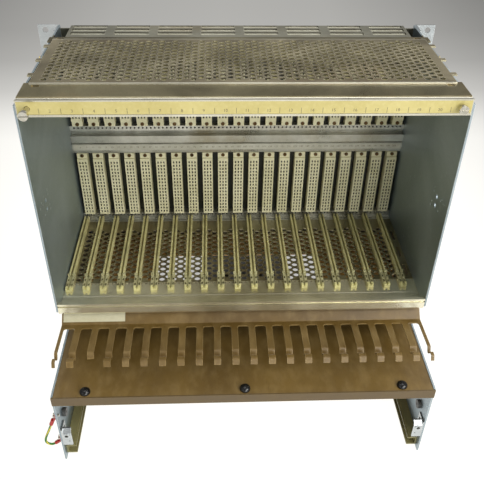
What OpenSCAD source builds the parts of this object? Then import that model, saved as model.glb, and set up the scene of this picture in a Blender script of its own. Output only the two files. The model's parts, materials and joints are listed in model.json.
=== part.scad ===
// Subrack card cage for 19-inch mounting: 21 card slots over a cable duct, standing on its side sheets.
// Units are millimetres. X is to the right, Y to the back, Z up. The origin is at the middle of the
// footprint, on the surface that the cage stands on. Sheet metal is drawn as folded profiles along X.

/* [Case] */
// Width over the two side sheets
body_w = 432; // [430:1:450]
// Thickness of the side sheets
side_t = 2; // [1:0.5:2.5]
// Thickness of the folded rails and panels
fold_t = 1.5; // [1:0.25:2]
// Inside radius of the folds
fold_r = 2; // [1.5:0.25:2.5]
// Clearance between pieces that are fitted together
fit_gap = 0.2; // [0.1:0.05:0.3]
// How far the cable duct stands in front of the card bay
duct_d = 82; // [76:1:90]
// Depth of the space behind the connectors
rear_d = 29; // [26:0.5:36]
// Height of the rails' space above the card bay
head_h = 28.25; // [28:0.25:34]

/* [Card bay] */
// Distance from slot to slot
slot_pitch = 20.32; // [18:0.01:20.32]
// Depth from the front plane to the faces of the connectors
bay_d = 187; // [184:1:200]
// Height of a card
card_h = 233.35; // [232:0.05:236]

/* [Perforated sheets] */
// Diameter of the floor holes
floor_hole_d = 7; // [4:0.5:7.5]
// Diameter of the cover holes
cover_hole_d = 6.5; // [4:0.5:7]
// Distance between columns of holes
hole_dx = 7.25; // [7:0.05:8]
// Distance between floor holes in a column
floor_hole_dy = 10; // [9.5:0.25:12]
// Distance between cover holes in a column
cover_hole_dy = 8.9; // [8.75:0.05:11]
// Thickness of the perforated sheets
mesh_t = 1.5; // [1:0.25:2]

/* [Connectors] */
// Width of a connector
conn_w = 13.2; // [11:0.2:15]
// Depth of a connector
conn_d = 12; // [9:0.5:14]
// Height of the screw flange
flange_h = 7.3; // [6.6:0.1:7.6]
// Distance between contact rows
contact_dz = 5.08; // [4:0.01:5.08]
// Distance between contact columns
contact_dx = 3.8; // [3:0.1:4.4]
// Height of the strip between the lower and the upper connectors
mid_h = 39; // [38:0.5:42]
// Diameter of the connector screws' heads
conn_screw_d = 4.6; // [3.5:0.1:5.6]

/* [Card guides] */
// Width of a guide's channel
guide_w = 6.4; // [5:0.2:8]
// Height of a guide
guide_h = 6; // [5:0.25:7]
// Width of the groove that holds a card's edge
guide_slot_w = 2.4; // [1.6:0.1:3]
// Width of a guide's front clip
clip_w = 8.2; // [8:0.2:10]
// Distance of the guides to the left of the connectors' middle
guide_shift = 5; // [3:0.25:6]

/* [Rails] */
// Depth of the upper front rail's top
front_rail_d = 35; // [30:1:36]
// Depth of the upper rear rail's top
rear_rail_d = 13; // [10:0.5:16]
// Depth of the lower front rail
sill_d = 51; // [46:1:52]
// Height of the lip on the lower front rail
sill_lip_h = 11.5; // [9:0.5:12]
// Diameter of the small fixing holes in the rails
rail_hole_d = 2.5; // [1.5:0.1:3]
// Distance between the small fixing holes
rail_hole_dx = 5.08; // [5.08:0.01:7.62]
// Thickness of the backplane board
board_t = 3.2; // [1.6:0.2:4]

/* [Label bar] */
// Height of the label bar
bar_h = 16.5; // [15:0.5:18]
// Thickness of the label bar
bar_t = 4; // [3.5:0.25:4.5]
// Height of the label strip
label_h = 12.8; // [10:0.2:13]
// Diameter of the captive screws' heads
cap_head_d = 9; // [7:0.5:11]
// Diameter of the captive screws' necks
cap_neck_d = 5; // [4:0.5:6]

/* [Mounting ears] */
// How far an ear stands out beside the case
ear_reach = 25.3; // [23:0.1:26]
// Distance of a fixing hole from the ear's outer edge
ear_hole_in = 8.75; // [8:0.05:9.5]
// Diameter of the fixing holes
ear_hole_d = 7; // [5:0.5:7.5]
// Height of an ear
ear_h = 399.2; // [390:0.1:400]
// Distance of a fixing hole from the ear's end
ear_hole_edge = 5.95; // [5:0.05:8]

/* [Cable comb] */
// Width of a comb finger
finger_w = 7.5; // [6:0.25:9]
// Length of the comb's fingers from the fold to the hook
finger_l = 46; // [40:1:48]
// Height of the fold under the bay's floor
comb_drop = 21; // [19:0.5:23]
// Depth of the comb's sloping band
comb_slope_d = 19; // [16:0.5:22]
// Radius of the slots' inner corners
comb_corner_r = 3; // [2:0.25:4]

/* [Cable duct] */
// Height of the duct floor above the ground
duct_z = 113; // [110:0.5:115]
// Height of the card bay's floor above the duct floor
duct_h = 53.5; // [51:0.5:59]
// Height of the duct's front lip
lip_h = 12.5; // [10:0.5:14]
// Width of the air opening in the duct floor
air_w = 224; // [180:1:260]
// Depth of the air opening
air_d = 102; // [90:1:110]
// Diameter of the knobs on the duct floor
knob_d = 12; // [9:0.5:13]
// Distance of the outer knobs from the middle
knob_x = 179; // [150:1:190]

/* [Lower bay] */
// Height of the slide rails
slide_h = 14; // [10:0.5:16]
// Width of the slide rails
slide_w = 12; // [8:0.5:14]
// Gap between the ground and the slide rails
slide_z = 4; // [3:0.5:8]
// Diameter of the earth lead
lead_d = 2.8; // [2:0.1:3]

/* [Hidden] */
$fn = 32;
case_d = duct_d + bay_d + conn_d + rear_d;   // depth over all, from the duct lip to the mounting ears
y_front = -case_d / 2;                       // duct lip
y_back = case_d / 2;                         // rear face of the ears
y_bay = y_front + duct_d;                    // front plane of the card bay
y_conn = y_bay + bay_d;                      // faces of the connectors
y_board = y_conn + conn_d;                   // front of the backplane board
inner_w = body_w - 2 * side_t;               // between the side sheets
slot_count = floor(inner_w / slot_pitch);    // number of card slots
floor_z = duct_z + duct_h;                   // floor of the card bay
rail_w = inner_w - 2 * fit_gap;              // length of all rails
card_z = floor_z + guide_h - 4.8;            // lower edge of a card
upper_guide_z = card_z + card_h + 1.2;       // base plane of the upper guides
top_z = upper_guide_z + head_h;              // top faces of the upper rails
case_h = top_z + mesh_t;                     // height over all
conn_z = floor_z + 9.1;                      // lower end of the lower connectors
conn_h = (upper_guide_z - 0.25 - conn_z - mid_h) / 2;   // height of a connector with its screw flange
mid_z = conn_z + conn_h;                     // lower edge of the middle rail
upper_conn_z = mid_z + mid_h;                // lower end of the upper connectors
conn_top_z = upper_conn_z + conn_h;          // upper end of the upper connectors
rear_lip_y = y_back - 4;                     // rear wall of the rear cover
ear_t = 2;                                   // thickness of the ears
ear_top_z = top_z - 6.5;                     // top of the ears
cover_y = y_bay + front_rail_d;              // front edge of the top cover
rear_rail_y = y_conn - 31.5;                 // front edge of the upper rear rail
comb_z = floor_z - comb_drop;                // fold of the comb
comb_w = inner_w - 2;                        // width of the comb
notch_back_y = y_bay + 60;                   // rear end of the cable notch in the side sheets
sill_t = fold_t;                             // thickness of the lower front rail

function slot_x(i) = (i - (slot_count - 1) / 2) * slot_pitch;

// Folded sheets: a list of corners becomes a list with rounded folds, and then a closed outline.
function unit(v) = v / norm(v);
function left_of(a, b) = let (d = unit(b - a)) [-d[1], d[0]];
function fold_arc(a, b, c, r) =
    let (u = unit(a - b), v = unit(c - b), half = acos(max(-1, min(1, u * v))) / 2,
         run = r / tan(half), o = b + unit(u + v) * r / sin(half), n = 4)
    [for (i = [0:n]) let (k = i / n) o + r * unit((b + u * run - o) * (1 - k) + (b + v * run - o) * k)];
function bent(p, r) =
    concat([p[0]], [for (i = [1:len(p) - 2]) each fold_arc(p[i - 1], p[i], p[i + 1], r)], [p[len(p) - 1]]);
function offset_point(p, i, t) =
    i == 0 ? p[0] + t * left_of(p[0], p[1])
    : i == len(p) - 1 ? p[i] + t * left_of(p[i - 1], p[i])
    : let (a = left_of(p[i - 1], p[i]), m = unit(a + left_of(p[i], p[i + 1]))) p[i] + t * m / (m * a);
function sheet_outline(p, t) = concat(p, [for (i = [len(p) - 1:-1:0]) offset_point(p, i, t)]);
function folded(p, t = fold_t, r = fold_r) = let (q = bent(p, r + t / 2)) concat(
    [for (i = [0:len(q) - 1]) offset_point(q, i, -t / 2)],
    [for (i = [len(q) - 1:-1:0]) offset_point(q, i, t / 2)]);

module along_x(len) {
    rotate([90, 0, 90]) linear_extrude(len, center = true) children();
}

module rod_x(d, len) {
    rotate([0, 90, 0]) cylinder(d = d, h = len, center = true);
}

module rod_y(d, len) {
    rotate([-90, 0, 0]) cylinder(d = d, h = len);
}

module both_sides() {
    children();
    mirror([1, 0, 0]) children();
}

// ---- Side sheets ----
// Small holes: distance behind the bay's front, distance below the top, diameter
side_holes = [[36, 133, 5], [36, 144, 5], [47.5, 126.5, 2.2], [47.5, 132, 2.2], [19, 125.5, 2.2],
              [24, 130.5, 2.2], [47.5, 145.5, 2.2], [48.5, 151.5, 2.2], [12.5, 128.5, 2.2], [25, 145, 2.2]];
side_top_z = top_z - 5.5;                    // upper edge of the side sheets
// Screws along the top of a side sheet, as distances from the bay's front
top_screw_y = [27, front_rail_d + 42, rear_rail_y - y_bay - 28.5, rear_rail_y - y_bay + rear_rail_d + 8.5];
top_screw_z = top_z - 11;
floor_screw_y = [17, 88, 200];               // screws of the duct floor's side flanges, from its front edge
floor_screw_z = duct_z - 9;
bush_y = y_front + 24;
bush_z = 61;
side_screw_d = 4;

module side_outline() {
    front = y_front + fold_t + fit_gap;
    back = y_back - ear_t - fit_gap;
    polygon(concat(
        [[front, 0], [back, 0], [back, side_top_z - 1], [y_bay, side_top_z], [y_bay, floor_z]],
        bent([[y_bay, floor_z], [y_bay + 17, floor_z - 6], [notch_back_y, floor_z - 16],
              [notch_back_y, duct_z + 1], [front, duct_z + 1]], 7)));
}

module side_panel() {
    color("slategray") translate([(body_w - side_t) / 2, 0, 0]) difference() {
        along_x(side_t) side_outline();
        for (h = side_holes) translate([0, y_bay + h[0], top_z - h[1]]) rod_x(h[2], 3 * side_t);
        for (y = top_screw_y)
            translate([0, y_bay + y, top_screw_z]) rod_x(side_screw_d + 2 * fit_gap, 3 * side_t);
        for (y = floor_screw_y)
            translate([0, y_front + y, floor_screw_z]) rod_x(side_screw_d + 2 * fit_gap, 3 * side_t);
        translate([0, bush_y, bush_z]) rod_x(6, 3 * side_t);
        for (z = ear_screw_z) translate([0, y_back - 10, z]) rod_x(side_screw_d + 2 * fit_gap, 3 * side_t);
        for (r = rivets) translate([0, r[0], r[1]]) rod_x(rivet_d + 2 * fit_gap, 3 * side_t);
        for (z = earth_z) translate([0, earth_y, z]) rod_x(earth_screw_d + 2 * fit_gap, 3 * side_t);
    }
}

module side_panel_right() { side_panel(); }
module side_panel_left() { mirror([1, 0, 0]) side_panel(); }

// A pan-head screw through a side sheet; "grip" is the metal under its head, then comes a hexagonal nut
module side_screw(grip, nut_l) {
    x = body_w / 2;
    translate([x + 1.2, 0, 0]) rod_x(7, 2.4);
    translate([x - (grip + nut_l) / 2, 0, 0]) rod_x(side_screw_d, grip + nut_l + 1);
    translate([x - grip - nut_l, 0, 0]) rotate([0, 90, 0]) cylinder(d = 7.5, h = nut_l, $fn = 6);
}

// The outer pair holds the rails' end tabs; the inner pair are hexagonal pillars beside the cover's flanges
module side_screws() {
    tab_grip = side_t + fit_gap + fold_t;
    color("goldenrod") both_sides() for (i = [0:3]) translate([0, y_bay + top_screw_y[i], top_screw_z])
        if (i == 0 || i == 3) side_screw(tab_grip, 2.8);
        else side_screw(side_t, (inner_w - cover_w) / 2 - fit_gap);
}

module floor_screws() {
    color("goldenrod") both_sides() {
        for (y = floor_screw_y) translate([0, y_front + y, floor_screw_z]) {
            translate([body_w / 2 + 1.2, 0, 0]) rod_x(7, 2.4);
            translate([body_w / 2 - 2.2, 0, 0]) rod_x(side_screw_d, 5.4);
        }
    }
}

// ---- Upper rails ----
end_slot_l = 8.5;
end_slot_w = 4;
clip_plate_t = 1.2;
web_y = y_bay + bar_t + 0.05 + fold_t / 2;   // middle of the front rail's upright web

// An upright tab at each end of a rail, where the side screw holds it
module end_tabs(y0, y1, z0, z1, screw_y) {
    both_sides() difference() {
        translate([rail_w / 2 - fold_t, y0, z0]) cube([fold_t, y1 - y0, z1 - z0]);
        translate([rail_w / 2, screw_y, top_screw_z]) rod_x(side_screw_d + 2 * fit_gap, 10);
    }
}

// An oblong slot near each end of a rail's top
module end_slots(y) {
    both_sides() translate([rail_w / 2 - 12.5, y, top_z - 5]) {
        for (s = [-1, 1]) translate([s * (end_slot_l - end_slot_w) / 2, 0, 0]) cylinder(d = end_slot_w, h = 10);
        translate([0, 0, 5]) cube([end_slot_l - end_slot_w, end_slot_w, 10], center = true);
    }
}

// Plates of the slide-in nuts that show through the end slots
module rail_clips() {
    z = top_z - fold_t - 0.05 - clip_plate_t;
    color("gold") both_sides() for (y = [y_bay + front_rail_d - 9, rear_rail_y - 1])
        translate([rail_w / 2 - 21, y, z]) cube([17, 10, clip_plate_t]);
}

module front_top_rail() {
    lap = 4;
    shelf_z = top_z - bar_h + fold_t / 2;
    shelf_y = y_bay + 27;
    tab_y = y_bay + top_screw_y[0];
    color("tan") difference() {
        union() {
            along_x(rail_w) polygon(folded([[y_bay + front_rail_d + lap, top_z - fold_t / 2],
                [web_y, top_z - fold_t / 2], [web_y, shelf_z], [shelf_y, shelf_z],
                [shelf_y, upper_guide_z + fold_t / 2], [guide_y + clip_len, upper_guide_z + fold_t / 2]]));
            end_tabs(tab_y - 7, tab_y + 7, top_screw_z - 7, top_z - 0.5, tab_y);
        }
        end_slots(y_bay + front_rail_d - end_slot_w / 2 - 1);
        captive_holes();
    }
}

rear_web_y = rear_rail_y + rear_rail_d - fold_t / 2;   // middle of the rear rail's upright web

module rear_top_rail() {
    tab_y = y_bay + top_screw_y[3];
    color("tan") difference() {
        union() {
            along_x(rail_w) polygon(folded([[rear_rail_y - 4, top_z - fold_t / 2],
                [rear_web_y, top_z - fold_t / 2], [rear_web_y, upper_guide_z + fold_t / 2],
                [y_board - fold_t / 2, upper_guide_z + fold_t / 2], [y_board - fold_t / 2, upper_guide_z + 10]]));
            end_tabs(rear_web_y, tab_y + 6, top_screw_z - 7, top_z - 4, tab_y);
        }
        for (x = board_screw_x) translate([x, y_board - 5, board_screw_z[2]]) rod_y(3, 10);
        end_slots(rear_rail_y + 6);
    }
}

// ---- Perforated sheets ----
// Staggered columns of holes within w by d; "level" columns all have the same number of holes
module hole_field(w, d, dx, dy, hole, level) {
    cols = floor((w - hole) / dx) + 1;
    rows = floor((d - hole - (level ? dy / 2 : 0)) / dy) + 1;
    for (c = [0:cols - 1]) {
        n = level ? rows : rows - c % 2;
        shift = level ? (c % 2 - 0.5) * dy / 2 : 0;
        for (r = [0:n - 1]) translate([(c - (cols - 1) / 2) * dx, (r - (n - 1) / 2) * dy + shift])
            circle(d = hole, $fn = 16);
    }
}

cover_d = rear_rail_y - cover_y;
cover_w = body_w - 16;

module top_cover() {
    flange_l = cover_d - 16;
    color("rosybrown") translate([0, cover_y + cover_d / 2, 0]) {
        translate([0, 0, top_z]) linear_extrude(mesh_t) difference() {
            union() {
                square([cover_w, cover_d], center = true);
                for (y = [-38.5, 0, 40]) translate([0, y]) square([rail_w, 6], center = true);
            }
            hole_field(cover_w - 18, cover_d - 7, hole_dx, cover_hole_dy, cover_hole_d, true);
        }
        both_sides() difference() {
            translate([cover_w / 2 - fold_t, -flange_l / 2, top_screw_z - 6])
                cube([fold_t, flange_l, top_z - top_screw_z + 6]);
            for (i = [1, 2]) translate([cover_w / 2, y_bay + top_screw_y[i] - cover_y - cover_d / 2, top_screw_z])
                rod_x(side_screw_d + 2 * fit_gap, 10);
        }
    }
}

floor_back = y_conn - 6;                     // rear edge of the floor sheet
floor_hole_y = [y_bay + sill_d + 2.5, floor_back - 19.5];   // front and rear limits of the floor's holes

module bay_floor_sheet() {
    y0 = y_bay + sill_d + fit_gap;
    color("dimgray") translate([0, 0, floor_z - mesh_t]) linear_extrude(mesh_t) difference() {
        translate([-rail_w / 2, y0]) square([rail_w, floor_back - y0]);
        translate([0, (floor_hole_y[0] + floor_hole_y[1]) / 2])
            hole_field(inner_w - 22, floor_hole_y[1] - floor_hole_y[0], hole_dx, floor_hole_dy, floor_hole_d,
                false);
        for (s = [-1, 1], y = [70, 106, 142])
            translate([s * (rail_w / 2 - 5), y_bay + y]) square([3.2, 20], center = true);
    }
}

// ---- Lower front rail: a flat sill with a grooved lip in front and a step that carries the floor ----
module front_bottom_rail() {
    lip_t = 4.5;
    lip_z = floor_z + sill_lip_h;
    hole_n = floor((rail_w - 20) / rail_hole_dx);
    wide_n = floor((rail_w / 2 - 14) / (3 * rail_hole_dx));
    color("silver") difference() {
        along_x(rail_w) polygon([[y_bay, floor_z - 1.2], [y_bay, lip_z - 5], [y_bay + 1.5, lip_z - 4.5],
            [y_bay + 1.5, lip_z - 3], [y_bay, lip_z - 2.5], [y_bay, lip_z], [y_bay + lip_t, lip_z],
            [y_bay + lip_t, floor_z], [y_bay + 26, floor_z], [y_bay + 26.6, floor_z - 0.4],
            [y_bay + 27.2, floor_z], [y_bay + sill_d, floor_z], [y_bay + sill_d, floor_z - sill_t - fit_gap],
            [y_bay + sill_d + 2.2, floor_z - sill_t - fit_gap], [y_bay + sill_d + 2.2, floor_z - 2 * sill_t],
            [y_bay + sill_d - 6, floor_z - 2 * sill_t], [y_bay + sill_d - 6, floor_z - sill_t],
            [y_bay + lip_t + 1, floor_z - sill_t], [y_bay + lip_t, floor_z - sill_t - 3],
            [y_bay + 2, floor_z - sill_t - 3]]);
        for (i = [0:hole_n]) translate([(i - hole_n / 2) * rail_hole_dx, y_bay + sill_d - 2.2, floor_z - 5])
            cylinder(d = rail_hole_d - 0.3, h = 10, $fn = 16);
        for (i = [-wide_n:wide_n]) translate([i * 3 * rail_hole_dx, y_bay + 13, floor_z - 5])
            cylinder(d = 3, h = 10, $fn = 16);
    }
}

// ---- Rear rails that carry the backplane ----
module hole_row(z, y, len) {
    n = floor((rail_w - 10) / rail_hole_dx);
    for (i = [0:n]) translate([(i - n / 2) * rail_hole_dx, y, z])
        rotate([-90, 0, 0]) cylinder(d = rail_hole_d, h = len, $fn = 16);
}

module rear_bottom_rail() {
    front = y_conn + 3;
    color("silver") difference() {
        along_x(rail_w) polygon([[floor_back + fit_gap, floor_z - 0.3], [floor_back + 3.5, floor_z - 0.3],
            [floor_back + 3.5, floor_z - 1.5], [floor_back + 4.5, floor_z - 1.5], [floor_back + 4.5, floor_z],
            [front, floor_z], [front, conn_z - 0.2], [y_board, conn_z - 0.2], [y_board, floor_z - 3],
            [floor_back - 8, floor_z - 3], [floor_back - 8, floor_z - mesh_t - fit_gap],
            [floor_back + fit_gap, floor_z - mesh_t - fit_gap]]);
        hole_row(conn_z - 3.4, front - 1, conn_d);
        for (x = board_screw_x) translate([x, y_board - 5, board_screw_z[0]]) rod_y(3, 10);
    }
}

module rear_middle_rail() {
    z = mid_z + fit_gap;
    h = mid_h - 2 * fit_gap;
    f = y_conn;
    b = y_board;
    color("silver") difference() {
        along_x(rail_w) polygon([[f + 3.5, z], [f + 3.5, z + 5.5], [f, z + 5.5], [f, z + 14.6], [f + 3, z + 14.6],
            [f + 3, z + 16.2], [f, z + 16.2], [f, z + 25.6], [f + 8, z + 25.6], [f + 8, z + h - 6],
            [f + 3, z + h - 6], [f + 3, z + h], [b, z + h], [b, z]]);
        hole_row(z + h - 2.8, f + 2, conn_d);
        for (x = board_screw_x) translate([x, b - 5, board_screw_z[1]]) rod_y(3, 10);
    }
}

// Thin strip with the numbering of the slots' places
module scale_strip() {
    z = mid_z + fit_gap + 6.2;
    color("gainsboro") translate([-rail_w / 2 + 2, y_conn - 0.6 - fit_gap / 2, z]) cube([rail_w - 4, 0.6, 7.8]);
}

// ---- Backplane ----
board_screw_x = [for (i = [-2:2]) i * (rail_w / 4 - 8.9)];
board_screw_z = [floor_z + 1.5, mid_z + mid_h / 2, upper_guide_z + 6];

module backplane_board() {
    color([0.1, 0.12, 0.1]) difference() {
        translate([-rail_w / 2 + 4, y_board + 0.01, floor_z - 1.5])
            cube([rail_w - 8, board_t, upper_guide_z + 10 - floor_z]);
        for (x = board_screw_x, z = board_screw_z) translate([x, y_board - 5, z]) rod_y(3 + fit_gap, 20);
    }
}

module backplane_screws() {
    color("silver") for (x = board_screw_x, z = board_screw_z) translate([x, y_board + board_t + 0.01, z]) {
        rod_y(5.5, 2);
        translate([0, -board_t - 1.2, 0]) rod_y(2.8, board_t + 1.5);
    }
}

// ---- Connectors: housings with three columns of contact chambers ----
contact_rows = floor((conn_h - 15) / contact_dz) + 1;

module connector() {
    rows_h = (contact_rows - 1) * contact_dz;
    first = conn_h - 12.9 - rows_h;
    step = 2;
    difference() {
        union() {
            translate([-conn_w / 2, 0, 0]) cube([conn_w, conn_d, conn_h - flange_h]);
            translate([-conn_w / 2, step, 0]) cube([conn_w, conn_d - step, conn_h]);
        }
        for (c = [-1:1], r = [0:contact_rows - 1])
            translate([c * contact_dx - 0.8, -1, first + r * contact_dz - 1.6]) cube([1.6, 3.5, 3.2]);
        translate([0, step - 1, conn_h - 2.9]) rod_y(3, conn_d + 2);
    }
}

module connectors_lower() {
    color("beige") for (i = [0:slot_count - 1]) translate([slot_x(i), y_conn, conn_z]) connector();
}

module connectors_upper() {
    color("beige") for (i = [0:slot_count - 1])
        translate([slot_x(i), y_conn, conn_top_z]) mirror([0, 0, 1]) connector();
}

module connector_screws() {
    color("saddlebrown") for (i = [0:slot_count - 1], z = [mid_z - 2.9, upper_conn_z + 2.9])
        translate([slot_x(i), y_conn + 0.8, z]) difference() {
            union() {
                rod_y(min(conn_screw_d, 5.6), 1.2);
                rod_y(2.6, conn_d - 1);
            }
            translate([-conn_screw_d / 2, -1, -0.4]) cube([conn_screw_d, 1.5, 0.8]);
        }
}

// ---- Card guides: a grooved channel with a clip and a nose at its front end ----
guide_y = y_bay + 36;                        // front ends of the guides
guide_len = y_conn - 0.5 - guide_y;
clip_len = 27;
nose_h = 5.2;                                // height of a guide's front nose
nose_d = 4;                                  // depth of the nose

module card_guide() {
    slot = guide_slot_w;
    difference() {
        union() {
            translate([-guide_w / 2, clip_len - 1, 0]) cube([guide_w, guide_len - clip_len + 1, guide_h]);
            translate([-clip_w / 2 - 0.6, clip_len - 2.5, 0]) cube([clip_w + 1.2, 2.5, guide_h]);
            translate([-clip_w / 2 + 0.6, 0, 0]) cube([clip_w - 1.2, nose_d, nose_h]);
            translate([-clip_w / 2, nose_d - 0.5, 0]) cube([clip_w, clip_len - nose_d - 1.5, guide_h - 1.8]);
        }
        translate([-slot / 2, clip_len - 3, 1.2]) cube([slot, guide_len, guide_h]);
        translate([-slot / 2, -1, 2.6]) cube([slot, clip_len, nose_h]);
        for (s = [-1, 1], y = [nose_d + 2, nose_d + 11])
            translate([s * (clip_w / 2 + slot / 2) / 2 - 1, y, -1]) cube([2, 4.5, guide_h + 2]);
    }
}

module card_guides_lower() {
    color("darkkhaki") for (i = [0:slot_count - 1])
        translate([slot_x(i) - guide_shift, guide_y, floor_z + 0.01]) card_guide();
}

module card_guides_upper() {
    color("darkkhaki") for (i = [0:slot_count - 1])
        translate([slot_x(i) - guide_shift, guide_y, upper_guide_z - 0.01]) mirror([0, 0, 1]) card_guide();
}

// ---- Label bar in front of the upper front rail ----
label_top = top_z - 1.4;                     // upper edge of the label strip
bar_front = y_bay - 1.2;                     // front of the bar's two lips

module captive_holes() {
    both_sides() translate([rail_w / 2 - 10.5, y_bay - 5, top_z - bar_h / 2]) rod_y(cap_neck_d + 2 * fit_gap, 20);
}

module label_bar() {
    low = label_top - label_h - fit_gap;
    high = label_top + fit_gap;
    color("gainsboro") difference() {
        along_x(rail_w) polygon([[bar_front, top_z - bar_h], [bar_front, low], [y_bay, low], [y_bay, high],
            [bar_front, high], [bar_front, top_z], [y_bay + 0.4, top_z], [y_bay + 0.8, top_z - 0.6],
            [y_bay + bar_t, top_z - 0.6], [y_bay + bar_t, top_z - bar_h]]);
        captive_holes();
    }
}

module label_strip() {
    color("khaki") difference() {
        translate([-rail_w / 2 + 1, y_bay - 0.81, label_top - label_h]) cube([rail_w - 2, 0.8, label_h]);
        captive_holes();
    }
}

// One captive screw is turned out, the other sits close to the bar
module captive_screw(out) {
    head_l = 4.5;
    difference() {
        union() {
            translate([0, -out - head_l, 0]) rod_y(cap_head_d, head_l);
            translate([0, -out - 0.1, 0]) rod_y(cap_neck_d, out + bar_t + 4);
        }
        translate([-cap_head_d, -out - head_l - 1, -0.6]) cube([2 * cap_head_d, 2.4, 1.2]);
    }
}

module captive_screws() {
    color("silver") {
        translate([-rail_w / 2 + 10.5, y_bay, top_z - bar_h / 2]) captive_screw(13);
        translate([rail_w / 2 - 10.5, y_bay, top_z - bar_h / 2]) captive_screw(4);
    }
}

// ---- Rear cover with louvre slots, closed by end plates ----
rear_cover_w = body_w - 32;
louvre_w = 40;                               // width of a group of louvres
louvre_dx = 50.5;                            // distance between groups
louvre_dy = 11.9;                            // distance between the louvres of a group
louvre_d = 8.6;                              // depth of a louvre's slot
louvre_n = floor((rear_cover_w - louvre_w) / louvre_dx) + 1;

module louvre_places() {
    for (g = [0:louvre_n - 1], k = [0:2])
        translate([(g - (louvre_n - 1) / 2) * louvre_dx, rear_lip_y - 6.9 - k * louvre_dy, 0]) children();
}

module rear_cover() {
    top = ear_top_z + 1;
    y0 = rear_rail_y + rear_rail_d + 0.05 + fold_t / 2;
    bottom = duct_z - 6;
    color("lightslategray") {
        difference() {
            along_x(rear_cover_w) polygon(folded([[y0, top - 12], [y0, top - fold_t / 2],
                [rear_lip_y - fold_t / 2, top - fold_t / 2], [rear_lip_y - fold_t / 2, top - 30]]));
            louvre_places() translate([0, 0, top]) cube([louvre_w, louvre_d, 10], center = true);
        }
        louvre_places() translate([0, louvre_d / 2, top - fold_t]) rotate([34, 0, 0])
            translate([-louvre_w / 2 - 0.2, -louvre_d, -1]) cube([louvre_w + 0.4, louvre_d + 1, 1]);
        translate([-rail_w / 2, rear_lip_y - fold_t, bottom]) cube([rail_w, fold_t, top - 4 - bottom]);
        both_sides() translate([rear_cover_w / 2 - fold_t, y_board + board_t + 2, floor_z - 5])
            cube([fold_t, rear_lip_y - 1.3 - y_board - board_t - 2, top - 1.2 - floor_z + 5]);
    }
}

// ---- Mounting ears ----
ear_z0 = ear_top_z - ear_h;                  // lower end of the ears
ear_flange_d = 24;                           // depth of the flanges on the side sheets
ear_screw_z = [for (i = [0:4]) ear_z0 + 35.2 + i * (ear_h - 79.2) / 4];

module mounting_ear() {
    x0 = body_w / 2 + fit_gap;
    ear_x = body_w / 2 + ear_reach;
    color("lightcyan") difference() {
        union() {
            translate([x0, y_back - ear_flange_d, ear_z0]) cube([ear_t, ear_flange_d, ear_h]);
            translate([x0, y_back - ear_t, ear_z0]) cube([ear_x - x0, ear_t, ear_h]);
        }
        for (z = [ear_z0 + ear_hole_edge, ear_top_z - ear_hole_edge])
            translate([ear_x - ear_hole_in, y_back - 10, z]) rod_y(ear_hole_d, 20);
        for (z = ear_screw_z) translate([x0, y_back - 10, z]) rod_x(side_screw_d + 2 * fit_gap, 10);
    }
}

module mounting_ear_right() { mounting_ear(); }
module mounting_ear_left() { mirror([1, 0, 0]) mounting_ear(); }

module ear_screws() {
    color("goldenrod") both_sides() for (z = ear_screw_z)
        translate([body_w / 2 + ear_t + fit_gap, y_back - 10, z]) {
            translate([1.2, 0, 0]) rod_x(7, 2.4);
            translate([-ear_t / 2 - side_t / 2 - 0.5, 0, 0]) rod_x(side_screw_d, ear_t + side_t + 2);
        }
}

// ---- Cable comb: one folded sheet with hooked fingers ----
hook = [[0, 0], [4, -6.8], [10.5, 1], [15, 1], [17.8, -4.5]];   // bends of a hook, from the finger's end

module cable_comb() {
    hook_y = y_bay - finger_l;
    broken = 2;
    slot_w = slot_pitch - finger_w;
    root_y = y_bay - 6.3;
    tip = hook[len(hook) - 1][0];
    under = floor_z - sill_t - fold_t / 2 - 0.02;
    color("sienna") difference() {
        along_x(comb_w) polygon(folded(concat(
            [[y_bay + comb_slope_d + 23, under], [y_bay + comb_slope_d, under], [y_bay, comb_z], [hook_y, comb_z + 2]],
            [for (i = [1:len(hook) - 1]) [hook_y - hook[i][0], comb_z + 2 + hook[i][1]]]), r = 1));
        for (i = [0:slot_count - 1]) translate([slot_x(i), root_y, comb_z - 20]) linear_extrude(40) {
            r = comb_corner_r;
            translate([-slot_w / 2, -finger_l - tip - 20]) square([slot_w, finger_l + tip + 20 - r]);
            translate([-slot_w / 2 + r, -2 * r]) square([slot_w - 2 * r, 2 * r]);
            for (s = [-1, 1]) translate([s * (slot_w / 2 - r), -r]) circle(r);
        }
        translate([slot_x(broken) - slot_pitch / 2, hook_y - 4.5 - 10, comb_z]) rotate([0, 0, 8])
            cube([finger_w + 4, 20, 40], center = true);
    }
}

// Blank plate on the comb's sloping band
module rating_plate() {
    plate_w = 72;
    plate_h = 19.5;
    rise = comb_drop - sill_t - fold_t / 2;
    color("ivory") translate([-comb_w / 2 + 38, y_bay + comb_slope_d / 2, comb_z + rise / 2])
        rotate([atan2(rise, comb_slope_d), 0, 0]) translate([-plate_w / 2, -plate_h / 2, fold_t / 2 + 0.05])
            cube([plate_w, plate_h, 0.4]);
}

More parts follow.
